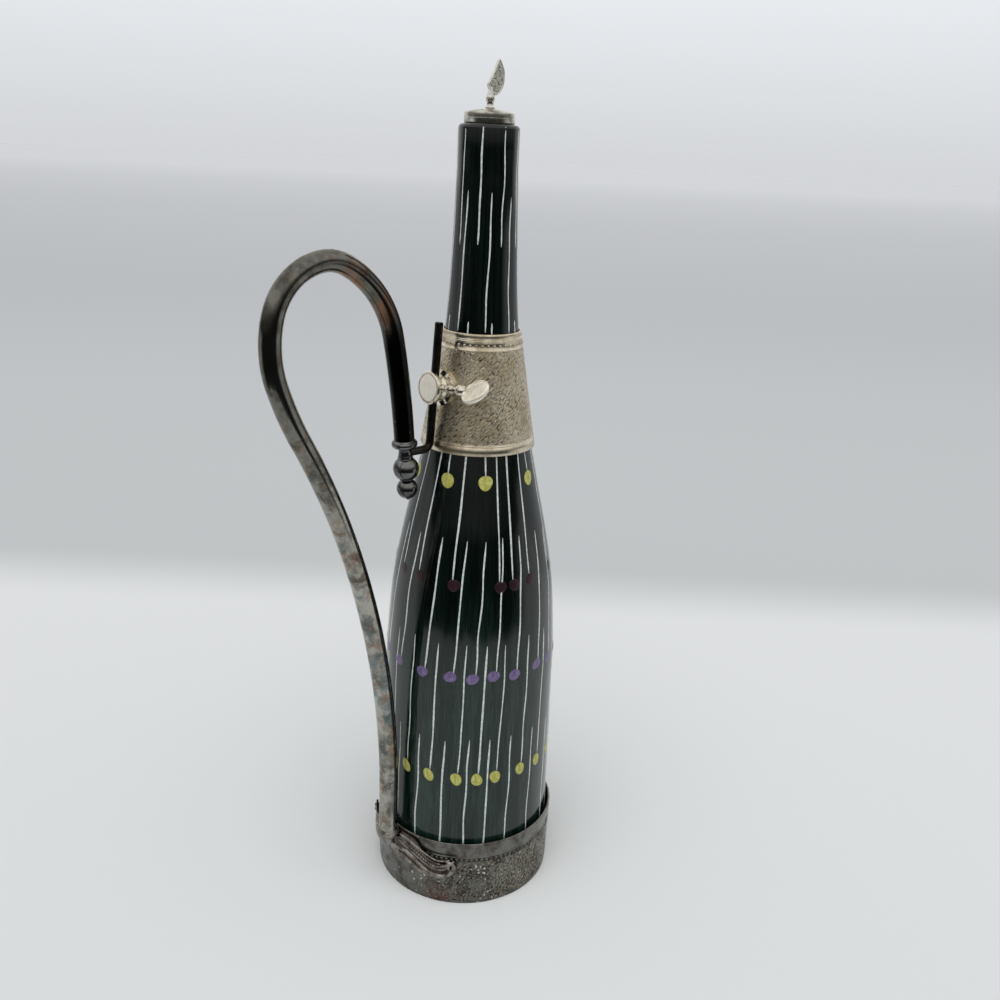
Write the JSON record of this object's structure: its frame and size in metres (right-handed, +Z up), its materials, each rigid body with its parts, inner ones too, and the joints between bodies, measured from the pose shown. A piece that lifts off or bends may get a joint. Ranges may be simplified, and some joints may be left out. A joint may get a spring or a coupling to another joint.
{
  "type": "wine pitcher",
  "caption": "Tall hock bottle with a cork stopper, held in a plated cup with a bent tube handle and a conical neck collar that slides on an upright rod and is clamped by a thumbscrew.",
  "frame": {"origin": "centre of the cup's flat underside", "axes": "+Z up along the bottle's axis, the handle is on the -X side and lies in the XZ plane"},
  "size_m": [0.1459, 0.0838, 0.3654],
  "materials": {
    "cup_plate": "tarnished silver plate, hammered",
    "handle_plate": "tarnished silver plate, smooth, mottled",
    "inner_steel": "plain turned steel",
    "rod_finish": "blackened, satin",
    "collar_plate": "pale nickel, hammered",
    "boss_plate": "bright plate",
    "disc_inlay": "matt cream",
    "bottle_glass": "near-black bottle green, glossy, with painted lines and dots",
    "cork": "natural cork",
    "stopper_metal": "pale pewter"
  },
  "bodies": {
    "holder": {"cup_wall": "cup_plate", "cup_floor": "cup_plate", "leaf_bracket": "cup_plate", "handle_socket": "handle_plate", "foot_nut": "handle_plate", "foot_stud": "inner_steel", "foot_plug": "inner_steel", "handle_tube": "handle_plate", "finial_plug": "inner_steel", "finial_pin": "inner_steel", "finial_ring": "handle_plate", "rod_eye": "handle_plate", "finial_upper_ball": "handle_plate", "finial_lower_ball": "handle_plate", "clamp_rod": "rod_finish"},
    "collar": {"neck_collar": "collar_plate", "boss_flange": "boss_plate", "boss_barrel": "boss_plate", "boss_cap": "boss_plate", "boss_disc": "disc_inlay"},
    "thumbscrew": {"thumbscrew_shank": "boss_plate", "thumbscrew_wing": "collar_plate"},
    "bottle": {"bottle": "bottle_glass"},
    "stopper": {"stopper_cork": "cork", "stopper_cap": "stopper_metal", "stopper_stem": "stopper_metal", "stopper_leaf": "stopper_metal"}
  },
  "joints": [
    {"name": "collar_slide", "type": "slide", "parent": "holder", "child": "collar", "axis": [0.0732, 0, 0.9973], "range_m": [0, 0.021]},
    {"name": "thumbscrew_turn", "type": "hinge", "parent": "collar", "child": "thumbscrew", "pos_m": [-0.02494, 0, 0.2386], "axis": [0, -0.9925, 0.1219], "continuous": true},
    {"name": "bottle_turn", "type": "hinge", "parent": "holder", "child": "bottle", "pos_m": [0, 0, 0.0015], "axis": [0, 0, 1], "continuous": true},
    {"name": "stopper_lift", "type": "slide", "parent": "bottle", "child": "stopper", "axis": [0, 0, 1], "range_m": [0, 0.04]}
  ]
}
